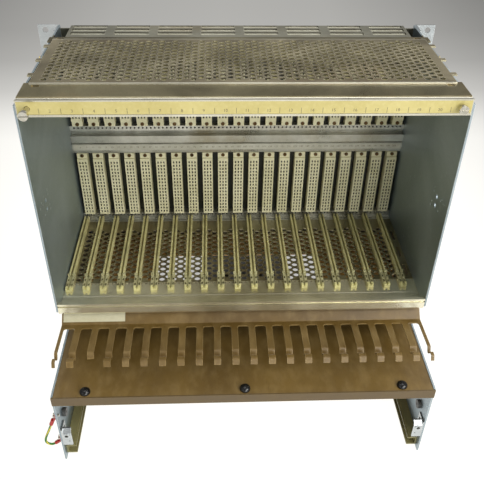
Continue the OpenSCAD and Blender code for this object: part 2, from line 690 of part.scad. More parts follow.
// ---- Duct floor with its front lip, side flanges and the air opening ----
module duct_floor() {
    depth = rear_lip_y - fold_t - fit_gap - y_front;
    air_y = y_bay + 70;
    plate_w = inner_w - 2 * fit_gap;
    color("peru") difference() {
        union() {
            translate([-body_w / 2, y_front, duct_z - lip_h]) cube([body_w, fold_t, lip_h]);
            translate([-plate_w / 2, y_front, duct_z - fold_t]) cube([plate_w, depth, fold_t]);
            both_sides() translate([plate_w / 2 - fold_t, y_front + 6, duct_z - 16]) cube([fold_t, depth - 8, 15]);
        }
        translate([-air_w / 2, air_y, duct_z - 10]) cube([air_w, air_d, 20]);
        for (x = [-knob_x, 0, knob_x]) translate([x, y_front + 8.5, duct_z - 10]) cylinder(d = 5, h = 20);
        both_sides() for (y = floor_screw_y)
            translate([inner_w / 2, y_front + y, floor_screw_z]) rod_x(side_screw_d + 2 * fit_gap, 20);
    }
}

module floor_knobs() {
    dome_h = 5;
    color([0.1, 0.1, 0.1]) for (x = [-knob_x, 0, knob_x]) translate([x, y_front + 8.5, duct_z + 0.01])
        rotate_extrude() polygon(concat([[0, -4], [2.3, -4], [2.3, 0], [knob_d / 2, 0]],
            [for (a = [0:15:90]) [knob_d / 2 * cos(a), 1.2 + (dome_h - 1.2) * sin(a)]]));
}

// ---- Lower bay for the fan tray ----
slide_y0 = y_front + 8;
slide_l = case_d - 40;
slide_web = 2;                               // thickness of a slide rail's walls

module slide_rail() {
    x1 = inner_w / 2 - fit_gap;
    color("olive") difference() {
        translate([x1 - slide_w, slide_y0, slide_z]) difference() {
            cube([slide_w, slide_l, slide_h]);
            translate([-1, -1, slide_web])
                cube([slide_w - slide_web + 1, slide_l + 2, slide_h - 2 * slide_web]);
            translate([-1, -1, slide_h - 0.6]) cube([3, slide_l + 2, 2]);
        }
        for (i = [0:2]) translate([x1, rivets[i][0], rivets[i][1]]) rod_x(rivet_d + 2 * fit_gap, 10);
    }
}

module slide_rail_right() { slide_rail(); }
module slide_rail_left() { mirror([1, 0, 0]) slide_rail(); }

bracket_z = 28;
bracket_y = y_front + fold_t + fit_gap;
rivet_d = 3.2;
// Rivets, as distance along Y and height: three in each slide rail, one in each bracket
rivets = [[slide_y0 + 20, slide_z + slide_h / 2], [slide_y0 + slide_l / 2, slide_z + slide_h / 2],
          [slide_y0 + slide_l - 20, slide_z + slide_h / 2], [bracket_y + 11, bracket_z + 18]];

module rivet(y, z, grip) {
    x = body_w / 2;
    translate([x + 0.5, y, z]) rod_x(2 * rivet_d, 1);
    translate([x - grip / 2, y, z]) rod_x(rivet_d, grip + 1);
    translate([x - grip - 0.5, y, z]) rod_x(1.7 * rivet_d, 1);
}

module rail_rivets() {
    color("gray") both_sides() for (i = [0:3])
        rivet(rivets[i][0], rivets[i][1], side_t + fit_gap + (i < 3 ? slide_web : fold_t));
}

module tray_bracket() {
    x1 = inner_w / 2 - fit_gap;
    y0 = bracket_y;
    w = 11;
    color("whitesmoke") difference() {
        union() {
            along = 16;
            translate([x1 - w, y0, bracket_z]) cube([w, fold_t, 21]);
            translate([x1 - fold_t, y0, bracket_z + 4]) cube([fold_t, along, 22]);
            translate([x1 - w / 2, 0, 0]) along_x(w) polygon([[y0, bracket_z + 21], [y0 + fold_t, bracket_z + 21],
                [y0 + 6, bracket_z + 26], [y0 + 4, bracket_z + 26]]);
            translate([x1 - w / 2, y0 - 0.8, bracket_z + 16.5]) rod_y(8, fold_t + 2);
        }
        translate([x1 - w / 2, y0 - 5, bracket_z + 16.5]) rod_y(4.4, 20);
        translate([x1 - w + 3, y0 - 5, bracket_z + 7]) rod_y(1.6, 20);
        translate([x1, rivets[3][0], rivets[3][1]]) rod_x(rivet_d + 2 * fit_gap, 10);
        translate([x1, earth_y, earth_z[1]]) rod_x(earth_screw_d + 2 * fit_gap, 10);
    }
}

module tray_bracket_right() { tray_bracket(); }
module tray_bracket_left() { mirror([1, 0, 0]) tray_bracket(); }

module guide_bush() {
    x1 = inner_w / 2;
    color("gray") translate([x1, bush_y, bush_z]) difference() {
        union() {
            translate([-2.3, 0, 0]) rod_x(11, 4.2);
            translate([0, 0, 0]) rod_x(5.6, 2);
        }
        rod_x(3.4, 20);
    }
}

module guide_bushes() { both_sides() guide_bush(); }

supply_w = 115;
supply_d = 38;
supply_z = 30;                               // underside of the supply box

module fan_supply_box() {
    color([0.15, 0.15, 0.15]) translate([-47, y_back - 9 - supply_d, supply_z]) difference() {
        cube([supply_w, supply_d, duct_z - fold_t - supply_z - 0.05]);
        for (x = [20, 45, 70]) translate([x, -1, 34]) cube([14, 6, 22]);
    }
}

// ---- Earth lead on the left side sheet ----
earth_y = y_front + 5.5;
earth_z = [78, 38];                          // heights of the two screws
earth_screw_d = 3.2;
tongue_t = 1.2;                              // thickness of the lugs' tongues
lead_x = -body_w / 2;
lead_route = [[lead_x - 8, earth_y, 62], [lead_x - 10.4, earth_y, 56], [lead_x - 13, earth_y, 49.5],
              [lead_x - 15.8, earth_y, 43], [lead_x - 18.2, earth_y, 36.5], [lead_x - 19, earth_y, 31],
              [lead_x - 17.9, earth_y, 27.6], [lead_x - 15.5, earth_y, 25.6], [lead_x - 12.5, earth_y, 25],
              [lead_x - 9.1, earth_y, 26.4], [lead_x - 7.6, earth_y, 27.7]];
lead_n = len(lead_route);

function tangent(p, i) = unit(p[min(i + 1, len(p) - 1)] - p[max(i - 1, 0)]);
function ring(c, t, r, n) = let (v = [0, 1, 0], u = cross(v, t))
    [for (k = [0:n - 1]) c + r * (u * cos(360 * k / n) + v * sin(360 * k / n))];
module swept(p, d, n = 8) {
    m = len(p);
    points = [for (i = [0:m - 1]) each ring(p[i], tangent(p, i), d / 2, n)];
    sides = [for (i = [0:m - 2], k = [0:n - 1]) let (a = i * n + k, b = i * n + (k + 1) % n)
        each [[a, a + n, b], [b, a + n, b + n]]];
    ends = [[for (k = [0:n - 1]) k], [for (k = [n - 1:-1:0]) (m - 1) * n + k]];
    polyhedron(points, concat(sides, ends), convexity = 4);
}

module earth_lead() {
    color("yellowgreen") swept(lead_route, lead_d);
}

// A crimp lug: a flat tongue under the screw, a bent neck and a sleeve whose end meets the lead
module lug(p, d, z, sleeve_l) {
    a = atan2(d[0], d[2]);
    q = p + (sleeve_l - 1) * d;
    n = [-d[2], 0, d[0]];
    x0 = -body_w / 2 - 0.05;
    color("red") translate(p + 0.02 * d) rotate([0, a, 0]) cylinder(d = 4.6, h = sleeve_l);
    color("red") translate([0, earth_y, 0]) difference() {
        rotate([90, 0, 0]) linear_extrude(5, center = true)
            polygon([[x0, z + 3.5], [x0 - tongue_t, z + 3.5], [x0 - tongue_t, z - 3],
                [q[0] + n[0] * 0.8, q[2] + n[2] * 0.8], [q[0] - n[0] * 0.8, q[2] - n[2] * 0.8], [x0, z - 4]]);
        translate([-body_w / 2, 0, z]) rod_x(earth_screw_d + 2 * fit_gap, 10);
    }
}

module earth_lugs() {
    lug(lead_route[0], unit(lead_route[0] - lead_route[1]), earth_z[0], 9);
    lug(lead_route[lead_n - 1], unit(lead_route[lead_n - 1] - lead_route[lead_n - 2]), earth_z[1], 6);
}

module earth_screws() {
    x0 = -body_w / 2 - 0.05 - tongue_t;
    color("silver") for (z = earth_z) translate([x0, earth_y, z]) {
        translate([-1, 0, 0]) rod_x(5.6, 2);
        translate([2.4, 0, 0]) rod_x(earth_screw_d, 5);
    }
}

side_panel_left();
side_panel_right();
side_screws();
floor_screws();
front_top_rail();
rear_top_rail();
rail_clips();
top_cover();
bay_floor_sheet();
front_bottom_rail();
rear_bottom_rail();
rear_middle_rail();
scale_strip();
backplane_board();
backplane_screws();
connectors_lower();
connectors_upper();
connector_screws();
card_guides_lower();
card_guides_upper();
label_bar();
label_strip();
captive_screws();
rear_cover();
mounting_ear_left();
mounting_ear_right();
ear_screws();
cable_comb();
rating_plate();
duct_floor();
floor_knobs();
slide_rail_left();
slide_rail_right();
tray_bracket_left();
tray_bracket_right();
rail_rivets();
guide_bushes();
fan_supply_box();
earth_lead();
earth_lugs();
earth_screws();
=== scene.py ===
# Dresses the subrack card cage: materials, the earth lead, printed numbers, light, floor and camera.
import json
import math
import bpy
from mathutils import Vector, Matrix


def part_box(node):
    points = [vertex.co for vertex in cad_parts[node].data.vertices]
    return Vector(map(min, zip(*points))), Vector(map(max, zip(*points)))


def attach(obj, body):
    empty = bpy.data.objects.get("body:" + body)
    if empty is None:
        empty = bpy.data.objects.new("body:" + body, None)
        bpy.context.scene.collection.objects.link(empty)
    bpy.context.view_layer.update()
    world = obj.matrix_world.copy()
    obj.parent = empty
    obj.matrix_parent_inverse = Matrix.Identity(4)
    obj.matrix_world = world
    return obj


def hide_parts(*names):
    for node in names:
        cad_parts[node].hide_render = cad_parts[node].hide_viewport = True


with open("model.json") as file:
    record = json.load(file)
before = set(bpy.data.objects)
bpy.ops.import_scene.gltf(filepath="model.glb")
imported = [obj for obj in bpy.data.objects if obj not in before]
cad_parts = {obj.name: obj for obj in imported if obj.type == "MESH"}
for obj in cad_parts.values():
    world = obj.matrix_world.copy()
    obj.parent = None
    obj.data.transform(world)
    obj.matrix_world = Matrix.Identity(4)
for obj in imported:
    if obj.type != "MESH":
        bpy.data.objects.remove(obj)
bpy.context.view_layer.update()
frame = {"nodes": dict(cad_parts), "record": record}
scene = bpy.context.scene
node = frame["nodes"]

MM = 0.001
CASE_D = 310.0
Y_FRONT = -CASE_D / 2
Y_BAY = Y_FRONT + 82.0
Y_CONN = Y_BAY + 187.0
TOP_Z = 430.5
SLOT_PITCH = 20.32
SLOTS = 21


def slot_x(i):
    return (i - (SLOTS - 1) / 2) * SLOT_PITCH


def srgb(r, g, b):
    def lin(v):
        v = v / 255.0
        return v / 12.92 if v <= 0.04045 else ((v + 0.055) / 1.055) ** 2.4
    return (lin(r), lin(g), lin(b), 1.0)


# ---------------------------------------------------------------- camera
def make_camera():
    data = bpy.data.cameras.new("camera")
    data.sensor_fit = "HORIZONTAL"
    data.sensor_width = 36.0
    data.lens = 48.3
    data.clip_start = 0.01
    data.clip_end = 50.0
    cam = bpy.data.objects.new("camera", data)
    scene.collection.objects.link(cam)
    pitch, yaw, roll = -0.642, 0.050, 0.018
    fwd = Vector((math.sin(yaw) * math.cos(pitch), math.cos(yaw) * math.cos(pitch), math.sin(pitch)))
    right = fwd.cross(Vector((0, 0, 1))).normalized()
    up = right.cross(fwd).normalized()
    r2 = right * math.cos(roll) + up * math.sin(roll)
    u2 = up * math.cos(roll) - right * math.sin(roll)
    rot = Matrix((r2, u2, -fwd)).transposed()
    cam.matrix_world = Matrix.Translation(Vector((-30.75, -632.0, 686.4)) * MM) @ rot.to_4x4()
    scene.camera = cam


make_camera()


# ---------------------------------------------------------------- mesh helpers
def add_object(name, verts, faces, mats=(), index=None, smooth=False):
    mesh = bpy.data.meshes.new(name)
    mesh.from_pydata([tuple(v) for v in verts], [], faces)
    for m in mats:
        mesh.materials.append(m)
    if index:
        for poly, k in zip(mesh.polygons, index):
            poly.material_index = k
    for poly in mesh.polygons:
        poly.use_smooth = smooth
    mesh.validate()
    mesh.update()
    o = bpy.data.objects.new(name, mesh)
    scene.collection.objects.link(o)
    return o


def spline(points, steps):
    """Catmull-Rom through the points."""
    p = [points[0] * 2 - points[1]] + list(points) + [points[-1] * 2 - points[-2]]
    out = []
    for i in range(1, len(p) - 2):
        for s in range(steps):
            t = s / steps
            a, b, c, d = p[i - 1], p[i], p[i + 1], p[i + 2]
            out.append(0.5 * (2 * b + (c - a) * t + (2 * a - 5 * b + 4 * c - d) * t * t
                              + (3 * b - a - 3 * c + d) * t ** 3))
    out.append(points[-1].copy())
    return out


def tube(name, path, radius, mats, sides=16, twist=0.0):
    """A closed tube along the path; half of its facets take the second material."""
    verts, faces, index = [], [], []
    side = Vector((0, 1, 0))
    for i, c in enumerate(path):
        t = (path[min(i + 1, len(path) - 1)] - path[max(i - 1, 0)]).normalized()
        u = side.cross(t).normalized()
        v = t.cross(u)
        for k in range(sides):
            a = 2 * math.pi * k / sides + twist * i
            verts.append(c + (u * math.cos(a) + v * math.sin(a)) * radius)
    for i in range(len(path) - 1):
        for k in range(sides):
            a, b = i * sides + k, i * sides + (k + 1) % sides
            faces.append((a, b, b + sides, a + sides))
            index.append(1 if len(mats) > 1 and k % (sides // 2) < sides // 5 else 0)
    faces.append(tuple(range(sides - 1, -1, -1)))
    faces.append(tuple(range((len(path) - 1) * sides, len(path) * sides)))
    index += [0, 0]
    return add_object(name, verts, faces, mats, index, smooth=True)


# ---------------------------------------------------------------- material helpers
class Mat:
    """A small node-tree builder around one Principled shader."""

    def __init__(self, name, rough=0.5, metal=0.0, coat=0.0, spec=0.5):
        self.m = bpy.data.materials.new(name)
        self.m.use_nodes = True
        self.t = self.m.node_tree
        self.t.nodes.clear()
        self.out = self.t.nodes.new("ShaderNodeOutputMaterial")
        self.b = self.t.nodes.new("ShaderNodeBsdfPrincipled")
        self.b.inputs["Roughness"].default_value = rough
        self.b.inputs["Metallic"].default_value = metal
        self.b.inputs["Coat Weight"].default_value = coat
        self.b.inputs["Specular IOR Level"].default_value = spec
        self.t.links.new(self.b.outputs[0], self.out.inputs[0])
        self.coord = self.t.nodes.new("ShaderNodeTexCoord").outputs["Object"]
        self.bump = None

    def link(self, a, b):
        self.t.links.new(a, b)

    def new(self, kind, **values):
        n = self.t.nodes.new(kind)
        for k, v in values.items():
            setattr(n, k, v)
        return n

    def mapped(self, scale=(1, 1, 1), loc=(0, 0, 0), rot=(0, 0, 0)):
        n = self.new("ShaderNodeMapping")
        n.inputs["Scale"].default_value = scale
        n.inputs["Location"].default_value = loc
        n.inputs["Rotation"].default_value = rot
        self.link(self.coord, n.inputs[0])
        return n.outputs[0]

    def noise(self, scale, detail=4, rough=0.55, stretch=(1, 1, 1), loc=(0, 0, 0), distort=0.0):
        n = self.new("ShaderNodeTexNoise")
        n.inputs["Scale"].default_value = scale
        n.inputs["Detail"].default_value = detail
        n.inputs["Roughness"].default_value = rough
        n.inputs["Distortion"].default_value = distort
        self.link(self.mapped(stretch, loc), n.inputs["Vector"])
        return n.outputs["Fac"]

    def voronoi(self, scale, stretch=(1, 1, 1), feature="F1"):
        n = self.new("ShaderNodeTexVoronoi", feature=feature)
        n.inputs["Scale"].default_value = scale
        self.link(self.mapped(stretch), n.inputs["Vector"])
        return n.outputs["Distance"]

    def ramp(self, fac, stops):
        n = self.new("ShaderNodeValToRGB")
        e = n.color_ramp.elements
        while len(e) > 1:
            e.remove(e[-1])
        e[0].position, e[0].color = stops[0][0], self.col(stops[0][1])
        for p, c in stops[1:]:
            x = e.new(p)
            x.color = self.col(c)
        self.link(fac, n.inputs[0])
        return n.outputs[0]

    @staticmethod
    def col(c):
        if isinstance(c, (int, float)):
            return (c, c, c, 1)
        return c if len(c) == 4 else (*c, 1)

    def mix(self, fac, a, b, mode="MIX"):
        n = self.new("ShaderNodeMix", data_type="RGBA", blend_type=mode)
        n.clamp_factor = True
        for sock, v in ((n.inputs[0], fac), (n.inputs[6], a), (n.inputs[7], b)):
            if hasattr(v, "is_output"):
                self.link(v, sock)
            elif sock == n.inputs[0]:
                sock.default_value = v
            else:
                sock.default_value = self.col(v)
        return n.outputs[2]

    def math(self, op, a, b=None, clamp=False):
        n = self.new("ShaderNodeMath", operation=op, use_clamp=clamp)
        for sock, v in ((n.inputs[0], a), (n.inputs[1], b)):
            if v is None:
                continue
            if hasattr(v, "is_output"):
                self.link(v, sock)
            else:
                sock.default_value = v
        return n.outputs[0]

    def axis(self, k):
        n = self.new("ShaderNodeSeparateXYZ")
        self.link(self.coord, n.inputs[0])
        return n.outputs[k]

    def span(self, fac, lo, hi, a=0.0, b=1.0):
        n = self.new("ShaderNodeMapRange")
        n.inputs["From Min"].default_value = lo
        n.inputs["From Max"].default_value = hi
        n.inputs["To Min"].default_value = a
        n.inputs["To Max"].default_value = b
        self.link(fac, n.inputs[0])
        return n.outputs[0]

    def edges(self, radius=0.0008, lo=0.90, hi=0.995):
        """1 along the sharp edges of the shape, 0 on its faces."""
        bev = self.new("ShaderNodeBevel", samples=4)
        bev.inputs["Radius"].default_value = radius
        geo = self.new("ShaderNodeNewGeometry")
        dot = self.new("ShaderNodeVectorMath", operation="DOT_PRODUCT")
        self.link(bev.outputs[0], dot.inputs[0])
        self.link(geo.outputs["True Normal"], dot.inputs[1])
        return self.span(dot.outputs["Value"], hi, lo)

    def color(self, c):
        if hasattr(c, "is_output"):
            self.link(c, self.b.inputs["Base Color"])
        else:
            self.b.inputs["Base Color"].default_value = self.col(c)

    def rough(self, f):
        self.link(f, self.b.inputs["Roughness"])

    def relief(self, height, dist, strength=1.0):
        n = self.new("ShaderNodeBump")
        n.inputs["Distance"].default_value = dist
        n.inputs["Strength"].default_value = strength
        self.link(height, n.inputs["Height"])
        if self.bump is not None:
            self.link(self.bump, n.inputs["Normal"])
        self.bump = n.outputs[0]
        self.link(self.bump, self.b.inputs["Normal"])


def sheet_metal(name, dark, light, spot, rough=(0.28, 0.5), metal=1.0, patch=14, streak=(1, 1, 14), wear=None,
                edge=None, edge_r=0.0007, relief=0.00012, highlight_rims=None, lit_hole_walls=None):
    """Worn sheet metal: broad mottling, fine brush marks, small dark specks and scratches, with optional painted
    highlights along edges, rims and hole walls.
    """
    m = Mat(name, metal=metal)
    broad = m.noise(patch, 5, 0.6, distort=0.6)
    fine = m.noise(220, 3, 0.6, stretch=streak)
    c = m.mix(m.span(broad, 0.35, 0.65), dark, light)
    c = m.mix(m.math("MULTIPLY", m.span(fine, 0.35, 0.75), 0.22), c, spot)
    specks = m.span(m.noise(900, 2, 0.5), 0.70, 0.78)
    c = m.mix(m.math("MULTIPLY", specks, 0.45), c, spot)
    if wear:
        stain = m.span(m.noise(patch * 0.45, 6, 0.65, loc=(3, 1, 2)), 0.52, 0.68)
        c = m.mix(m.math("MULTIPLY", stain, 0.75), c, wear)
    scratch = m.span(m.noise(60, 2, 0.4, stretch=(3, 3, 60) if streak[2] > 1 else (60, 3, 3)), 0.69, 0.71)
    c = m.mix(m.math("MULTIPLY", scratch, 0.35), c, light)
    # painted highlight along the sharp edges
    if edge:
        c = m.mix(m.edges(edge_r), c, edge)
    if lit_hole_walls:
        # painted highlight on the walls of punched holes
        sep = m.new("ShaderNodeSeparateXYZ")
        m.link(m.new("ShaderNodeNewGeometry").outputs["Normal"], sep.inputs[0])
        upright = m.math("LESS_THAN", m.math("ABSOLUTE", sep.outputs[2]), 0.4)
        c = m.mix(m.math("MULTIPLY", upright, m.span(m.noise(26, 3, 0.6), 0.38, 0.58, 0.1, 0.9)), c, lit_hole_walls)
    if highlight_rims:
        # painted highlight rims along the front and the rear of a sheet, in millimetres
        y = m.axis(1)
        highlight_rim = m.math("LESS_THAN", y, highlight_rims[0] * MM)
        highlight_rim = m.math("MAXIMUM", highlight_rim, m.math("GREATER_THAN", y, highlight_rims[1] * MM))
        c = m.mix(m.math("MULTIPLY", highlight_rim, highlight_rims[2]), c, srgb(250, 247, 232))
    m.color(c)
    r = m.math("ADD", m.span(broad, 0.3, 0.7, rough[0], rough[1]), m.span(fine, 0.3, 0.7, -0.05, 0.05))
    m.rough(r)
    m.relief(fine, relief, 0.5)
    return m.m


def enamel(name, base, deep, edge, chips, duct=False):
    """Worn semi-gloss enamel on sheet metal, rubbed lighter along its edges."""
    m = Mat(name, rough=0.42, metal=0.0, coat=0.15, spec=0.5)
    m.b.inputs["Coat Roughness"].default_value = 0.35
    broad = m.noise(9, 5, 0.6)
    c = m.mix(m.span(broad, 0.35, 0.65), deep, base)
    dust = m.noise(70, 4, 0.6, stretch=(1, 0.5, 1))
    c = m.mix(m.math("MULTIPLY", m.span(dust, 0.45, 0.75), 0.30), c, edge)
    rub = m.math("MULTIPLY", m.edges(0.0011, 0.80, 0.99), m.span(m.noise(45, 4, 0.6), 0.25, 0.6))
    c = m.mix(rub, c, edge)
    fleck = m.span(m.noise(520, 3, 0.6), 0.70, 0.74)
    c = m.mix(m.math("MULTIPLY", fleck, 0.5), c, chips)
    scratch = m.span(m.noise(40, 2, 0.4, stretch=(50, 3, 3)), 0.68, 0.70)
    c = m.mix(m.math("MULTIPLY", scratch, 0.4), c, chips)
    if duct:
        # painted light: the paint is lighter and more orange under the card bay, standing in for the light that reaches
        # the plenum
        c = m.mix(m.span(m.axis(1), -0.02, 0.02), c, srgb(214, 166, 98))
        # painted shade: darker on the front face of the lip
        c = m.mix(m.math("MULTIPLY", m.math("LESS_THAN", m.axis(1), -0.1532), 0.75), c, srgb(84, 68, 40))
    m.color(c)
    m.rough(m.span(dust, 0.3, 0.7, 0.34, 0.52))
    m.relief(m.noise(1400, 2, 0.5), 0.00006, 0.35)
    return m.m


def plastic(name, base, deep, light, rough=0.45, grain=800, height=0.00005, edge=None):
    m = Mat(name, rough=rough)
    broad = m.noise(25, 4, 0.6)
    c = m.mix(m.span(broad, 0.3, 0.7), deep, base)
    c = m.mix(m.math("MULTIPLY", m.span(m.noise(260, 3, 0.6), 0.45, 0.75), 0.35), c, light)
    if edge:
        c = m.mix(m.math("MULTIPLY", m.edges(0.0004), 0.7), c, edge)
    m.color(c)
    m.rough(m.span(broad, 0.3, 0.7, rough - 0.07, rough + 0.09))
    m.relief(m.noise(grain, 2, 0.5), height, 0.4)
    return m.m


def connector_material():
    """Moulded housings; the inside of each contact chamber is painted dark as painted shade in the recess."""
    m = Mat("connector_beige", rough=0.5)
    body = m.mix(m.span(m.noise(30, 4, 0.6), 0.35, 0.65), srgb(214, 208, 168), srgb(230, 224, 188))
    body = m.mix(m.math("MULTIPLY", m.span(m.noise(500, 2, 0.5), 0.5, 0.8), 0.3), body, srgb(196, 188, 144))
    x = m.axis(0)
    turns = m.math("ADD", m.math("DIVIDE", x, SLOT_PITCH * MM), 0.5)
    local = m.math("SUBTRACT", m.math("FRACT", turns), 0.5)
    near = m.math("LESS_THAN", m.math("ABSOLUTE", local), 4.75 / SLOT_PITCH)
    y = m.axis(1)
    deep = m.span(y, (Y_CONN + 0.15) * MM, (Y_CONN + 1.3) * MM)
    z = m.axis(2)
    low = m.math("MULTIPLY", m.math("GREATER_THAN", z, 0.1765), m.math("LESS_THAN", z, 0.2605))
    high = m.math("MULTIPLY", m.math("GREATER_THAN", z, 0.3170), m.math("LESS_THAN", z, 0.4012))
    rows = m.math("MAXIMUM", low, high)
    # painted shade inside the contact chambers
    chamber_shade = m.math("MULTIPLY", m.math("MULTIPLY", near, rows), deep)
    c = m.mix(chamber_shade, body, srgb(38, 34, 24))
    m.color(c)
    m.relief(m.noise(900, 2, 0.5), 0.00004, 0.3)
    return m.m


def guide_material():
    """Moulded guides: lighter nose, greyish clip, olive-beige channel."""
    m = Mat("guide_plastic", rough=0.42)
    y = m.axis(1)
    ramp = m.ramp(m.span(y, (Y_BAY + 35) * MM, (Y_BAY + 67) * MM),
                  [(0.0, srgb(240, 234, 170)), (0.15, srgb(232, 226, 160)), (0.19, srgb(186, 180, 138)),
                   (0.84, srgb(180, 176, 134)), (0.92, srgb(222, 215, 158)), (1.0, srgb(206, 198, 142))])
    c = m.mix(m.math("MULTIPLY", m.span(m.noise(60, 4, 0.6), 0.4, 0.7), 0.45), ramp, srgb(112, 104, 60))
    # painted highlight along the guides' edges
    c = m.mix(m.math("MULTIPLY", m.edges(0.0004), 0.5), c, srgb(216, 210, 160))
    m.color(c)
    m.relief(m.noise(700, 2, 0.5), 0.00005, 0.3)
    return m.m


def striped(name, a, b):
    return plastic(name, a, tuple(0.8 * v for v in a[:3]) + (1,), b, rough=0.4)


MATS = {}


def build_materials():
    M = MATS
    M["side_paint"] = sheet_metal("side_paint", srgb(146, 161, 168), srgb(184, 196, 202), srgb(108, 121, 128),
                                  rough=(0.36, 0.55), metal=0.85, patch=6, streak=(1, 14, 1),
                                  edge=srgb(228, 232, 232), edge_r=0.0006)
    M["zinc"] = sheet_metal("zinc", srgb(188, 194, 196), srgb(222, 226, 227), srgb(132, 136, 138), rough=(0.3, 0.46),
                            patch=22, edge=srgb(236, 238, 240), edge_r=0.0005)
    M["yellow_zinc"] = sheet_metal("yellow_zinc", srgb(176, 150, 82), srgb(214, 190, 118), srgb(120, 96, 44),
                                   rough=(0.25, 0.4), patch=90)
    M["stained_zinc"] = sheet_metal("stained_zinc", srgb(100, 91, 62), srgb(146, 138, 108), srgb(64, 57, 36),
                                    rough=(0.26, 0.42), metal=0.9, patch=9, streak=(12, 1, 1),
                                    wear=srgb(138, 112, 74), edge=srgb(214, 206, 180),
                                    highlight_rims=(Y_BAY + 5.6, 900, 0.6))
    M["cover_steel"] = sheet_metal("cover_steel", srgb(114, 105, 82), srgb(162, 152, 126), srgb(76, 68, 47),
                                   rough=(0.3, 0.48), metal=0.85, patch=12, streak=(8, 1, 1),
                                   wear=srgb(118, 96, 62), edge=srgb(240, 234, 208), edge_r=0.0008,
                                   highlight_rims=(Y_BAY + 35.8, Y_CONN - 32.2, 0.85),
                                   lit_hole_walls=srgb(208, 200, 166))
    M["floor_steel"] = sheet_metal("floor_steel", srgb(132, 126, 98), srgb(176, 170, 142), srgb(90, 84, 62),
                                   rough=(0.32, 0.5), metal=0.85, patch=10, streak=(1, 10, 1),
                                   wear=srgb(96, 80, 52), edge=srgb(190, 182, 150), edge_r=0.0005)
    M["bright_rail"] = sheet_metal("bright_rail", srgb(228, 223, 194), srgb(242, 238, 216), srgb(190, 184, 152),
                                   rough=(0.14, 0.26), metal=0.8, patch=10, streak=(16, 1, 1),
                                   wear=srgb(150, 140, 104), edge=srgb(236, 230, 204))
    M["rear_rail"] = sheet_metal("rear_rail", srgb(158, 157, 144), srgb(206, 205, 194), srgb(112, 108, 92),
                                 rough=(0.26, 0.4), metal=0.9, patch=16, streak=(14, 1, 1),
                                 wear=srgb(150, 140, 112), edge=srgb(230, 228, 214), edge_r=0.0004)
    M["bar_aluminium"] = sheet_metal("bar_aluminium", srgb(196, 192, 172), srgb(222, 219, 204), srgb(154, 148, 124),
                                     rough=(0.24, 0.38), patch=18, streak=(18, 1, 1), edge=srgb(240, 236, 220))
    M["nickel"] = sheet_metal("nickel", srgb(190, 186, 172), srgb(222, 219, 208), srgb(120, 114, 98),
                              rough=(0.14, 0.26), patch=120, edge=srgb(244, 242, 236), edge_r=0.0003)
    M["brown_screw"] = sheet_metal("brown_screw", srgb(84, 64, 42), srgb(122, 98, 66), srgb(50, 38, 25),
                                   rough=(0.35, 0.5), patch=160)
    M["rear_cover_paint"] = sheet_metal("rear_cover_paint", srgb(128, 126, 112), srgb(160, 158, 142),
                                        srgb(96, 92, 76), rough=(0.34, 0.5), metal=0.8, patch=7,
                                        wear=srgb(122, 110, 84), edge=srgb(206, 202, 184))
    M["brown_enamel"] = enamel("brown_enamel", srgb(121, 96, 46), srgb(98, 76, 35), srgb(168, 144, 94),
                               srgb(78, 60, 34), duct=True)
    M["olive_paint"] = enamel("olive_paint", srgb(146, 141, 96), srgb(124, 118, 76), srgb(160, 152, 104),
                              srgb(60, 56, 32))
    M["box_dark"] = enamel("box_dark", srgb(52, 50, 46), srgb(38, 37, 34), srgb(96, 92, 84), srgb(24, 24, 22))
    # near-black board colour: partly a dark board, partly painted shade in the gaps between and behind the connectors
    M["board_black"] = plastic("board_black", srgb(30, 34, 28), srgb(20, 23, 19), srgb(52, 56, 44), rough=0.38)
    M["connector_beige"] = connector_material()
    M["guide_plastic"] = guide_material()
    M["scale_strip"] = plastic("scale_strip", srgb(196, 194, 178), srgb(176, 173, 154), srgb(214, 212, 198),
                               rough=0.4)
    M["label_yellow"] = plastic("label_yellow", srgb(208, 195, 130), srgb(192, 178, 110), srgb(218, 207, 150),
                                rough=0.36)
    M["plate_cream"] = plastic("plate_cream", srgb(206, 201, 172), srgb(190, 184, 150), srgb(216, 212, 188),
                               rough=0.4)
    M["knob_black"] = plastic("knob_black", srgb(22, 22, 22), srgb(14, 14, 14), srgb(40, 40, 40), rough=0.22)
    M["bush_grey"] = plastic("bush_grey", srgb(86, 86, 84), srgb(66, 66, 64), srgb(116, 116, 112), rough=0.4)
    M["lead_green"] = plastic("lead_green", srgb(52, 130, 48), srgb(38, 104, 36), srgb(84, 156, 70), rough=0.38)
    M["lead_yellow"] = plastic("lead_yellow", srgb(226, 208, 62), srgb(206, 186, 44), srgb(238, 224, 110),
                               rough=0.38)
    M["lug_red"] = plastic("lug_red", srgb(190, 34, 26), srgb(150, 24, 20), srgb(216, 84, 66), rough=0.3)
    M["print"] = plastic("print", srgb(112, 100, 66), srgb(94, 84, 56), srgb(132, 120, 84), rough=0.5)


build_materials()

# Each CAD node takes the material of its record slot
slot_of = {s["node"]: s["material_slot"] for s in frame["record"]["subparts"]}
for name, obj in node.items():
    mat = MATS[slot_of[name]]
    if not obj.material_slots:
        obj.data.materials.append(mat)
    for s in obj.material_slots:
        s.material = mat

# ---------------------------------------------------------------- earth lead
ROUTE = [(-224, -149.5, 62), (-226.4, -149.5, 56), (-229, -149.5, 49.5), (-231.8, -149.5, 43),
         (-234.2, -149.5, 36.5), (-235, -149.5, 31), (-233.9, -149.5, 27.6), (-231.5, -149.5, 25.6),
         (-228.5, -149.5, 25), (-225.1, -149.5, 26.4), (-223.6, -149.5, 27.7)]
path = spline([Vector(p) * MM for p in ROUTE], 5)
lead = tube("earth_lead_jacket", path, 1.4 * MM, [MATS["lead_green"], MATS["lead_yellow"]], 16, twist=0.12)
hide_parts("earth_lead")
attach(lead, "root")


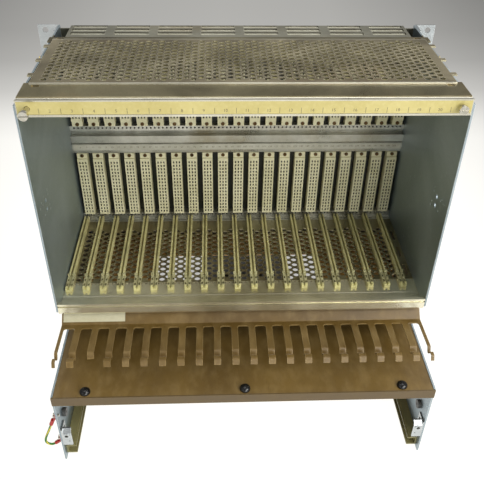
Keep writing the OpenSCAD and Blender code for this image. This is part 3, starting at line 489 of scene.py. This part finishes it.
# ---------------------------------------------------------------- printed numbers and ticks
def numbers(name, items, size, mat, y):
    """Plain figures standing on a face that looks to the front; items are (text, x, z) in mm."""
    parts = []
    for text, x, z in items:
        c = bpy.data.curves.new(name, "FONT")
        c.body = text
        c.size = size * MM
        c.align_x = "CENTER"
        c.align_y = "CENTER"
        c.extrude = 0.0
        c.resolution_u = 2
        o = bpy.data.objects.new(name, c)
        scene.collection.objects.link(o)
        o.location = (x * MM, y * MM, z * MM)
        o.rotation_euler = (math.radians(90), 0, 0)
        parts.append(o)
    bpy.context.view_layer.update()
    dg = bpy.context.evaluated_depsgraph_get()
    verts, faces = [], []
    for o in parts:
        me = o.evaluated_get(dg).to_mesh()
        base = len(verts)
        verts += [o.matrix_world @ v.co for v in me.vertices]
        faces += [tuple(base + i for i in p.vertices) for p in me.polygons]
        o.evaluated_get(dg).to_mesh_clear()
    for o in parts:
        data = o.data
        bpy.data.objects.remove(o)
        bpy.data.curves.remove(data)
    out = add_object(name, verts, faces, [mat])
    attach(out, "root")
    return out


def ticks(name, items, mat, y, depth=0.03):
    """Thin upright bars on a front face; items are (x, z low, z high, width) in mm."""
    verts, faces = [], []
    for x, z0, z1, w in items:
        b = len(verts)
        for dy in (0, depth):
            verts += [Vector((x - w / 2, y + dy, z0)) * MM, Vector((x + w / 2, y + dy, z0)) * MM,
                      Vector((x + w / 2, y + dy, z1)) * MM, Vector((x - w / 2, y + dy, z1)) * MM]
        faces += [(b, b + 1, b + 2, b + 3), (b + 7, b + 6, b + 5, b + 4), (b, b + 4, b + 5, b + 1),
                  (b + 1, b + 5, b + 6, b + 2), (b + 2, b + 6, b + 7, b + 3), (b + 3, b + 7, b + 4, b)]
    out = add_object(name, verts, faces, [mat])
    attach(out, "root")
    return out


strip_lo, strip_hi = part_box("label_strip")
y_strip = strip_lo[1] / MM - 0.03
z0, z1 = strip_lo[2] / MM, strip_hi[2] / MM
ticks("label_ticks", [(slot_x(i) + SLOT_PITCH / 2, z0 + 0.6, z0 + 6.2, 0.45) for i in range(SLOTS - 1)]
      , MATS["print"], y_strip)
numbers("label_numbers", [(str(i + 1), slot_x(i), z0 + 3.4) for i in range(SLOTS)], 4.4, MATS["print"],
        y_strip - 0.01)
sc_lo, sc_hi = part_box("scale_strip")
zc = (sc_lo[2] + sc_hi[2]) / 2 / MM
marks = [(i - 25) * 8.13 for i in range(51)]
numbers("scale_numbers", [(str(4 * i + 3), x, zc) for i, x in enumerate(marks)], 3.4, MATS["print"],
        sc_lo[1] / MM - 0.02)


# ---------------------------------------------------------------- floor, light and world
def grey(v):
    return (v, v, v, 1.0)


def make_stage():
    m = Mat("stage_floor", rough=0.9, spec=0.1)
    m.color(srgb(226, 226, 224))
    lp = m.new("ShaderNodeLightPath")
    seen = m.math("MAXIMUM", m.math("MAXIMUM", lp.outputs["Is Camera Ray"], lp.outputs["Is Glossy Ray"]),
                  lp.outputs["Is Transmission Ray"])
    x, y = m.axis(0), m.axis(1)
    # brightness along the depth of the studio, falling off to both sides
    depth = m.ramp(m.span(y, 0.4, 1.7), [(0.0, grey(1.25)), (0.2, grey(1.22)), (0.27, grey(1.10)), (0.40, grey(0.74)),
                                         (0.56, grey(0.52)), (0.75, grey(0.44)), (1.0, grey(0.43))])
    side = m.ramp(m.span(m.math("ABSOLUTE", x), 0.0, 1.0), [(0.0, grey(1.0)), (0.35, grey(0.95)), (0.65, grey(0.73)),
                                                          (0.82, grey(0.58)), (1.0, grey(0.45))])
    # less light reaches the ground under the rear of the cage
    across = m.math("SUBTRACT", 1.0, m.span(m.math("ABSOLUTE", x), 0.17, 0.23))
    along = m.math("MULTIPLY", m.span(y, -0.06, 0.02), m.math("SUBTRACT", 1.0, m.span(y, 0.24, 0.40)))
    near = m.math("SUBTRACT", 1.0, m.math("MULTIPLY", m.math("MULTIPLY", across, along), 0.58))
    glow = m.math("MULTIPLY", m.math("MULTIPLY", depth, side), near)
    e = m.new("ShaderNodeEmission")
    e.inputs["Color"].default_value = (1.0, 0.985, 0.94, 1.0)
    m.link(glow, e.inputs["Strength"])
    blend = m.new("ShaderNodeMixShader")
    m.link(m.math("MULTIPLY", seen, 0.86), blend.inputs[0])
    m.link(m.b.outputs[0], blend.inputs[1])
    m.link(e.outputs[0], blend.inputs[2])
    m.link(blend.outputs[0], m.out.inputs[0])
    s = 3.2
    floor = add_object("studio_floor", [(-s, -2.2, -0.0004), (s, -2.2, -0.0004), (s, 3.6, -0.0004), (-s, 3.6, -0.0004)],
                       [(0, 1, 2, 3)], [m.m])


def area(name, loc, target, size, power, color=(1, 1, 1)):
    d = bpy.data.lights.new(name, "AREA")
    d.shape = "RECTANGLE"
    d.size, d.size_y = size
    d.energy = power
    d.color = color
    o = bpy.data.objects.new(name, d)
    scene.collection.objects.link(o)
    o.location = loc
    o.rotation_euler = (Vector(target) - Vector(loc)).to_track_quat("-Z", "Y").to_euler()
    return o


make_stage()
area("key", (1.25, -1.0, 1.5), (0, 0, 0.2), (1.2, 0.9), 26, (1.0, 0.98, 0.94))
area("front", (0.62, -1.65, 0.62), (-0.05, 0.05, 0.24), (1.0, 0.5), 11.5, (0.99, 0.99, 0.98))
area("fill", (-1.3, -1.3, 1.0), (0, 0, 0.2), (1.0, 1.0), 4, (0.94, 0.97, 1.0))
area("top", (0.1, 0.5, 1.9), (0, 0, 0.3), (1.6, 1.2), 18, (1.0, 1.0, 1.0))
world = bpy.data.worlds.new("studio")
scene.world = world
world.use_nodes = True
wt = world.node_tree
wt.nodes["Background"].inputs["Color"].default_value = srgb(196, 196, 194)
wt.nodes["Background"].inputs["Strength"].default_value = 0.55

scene.view_settings.view_transform = "Standard"
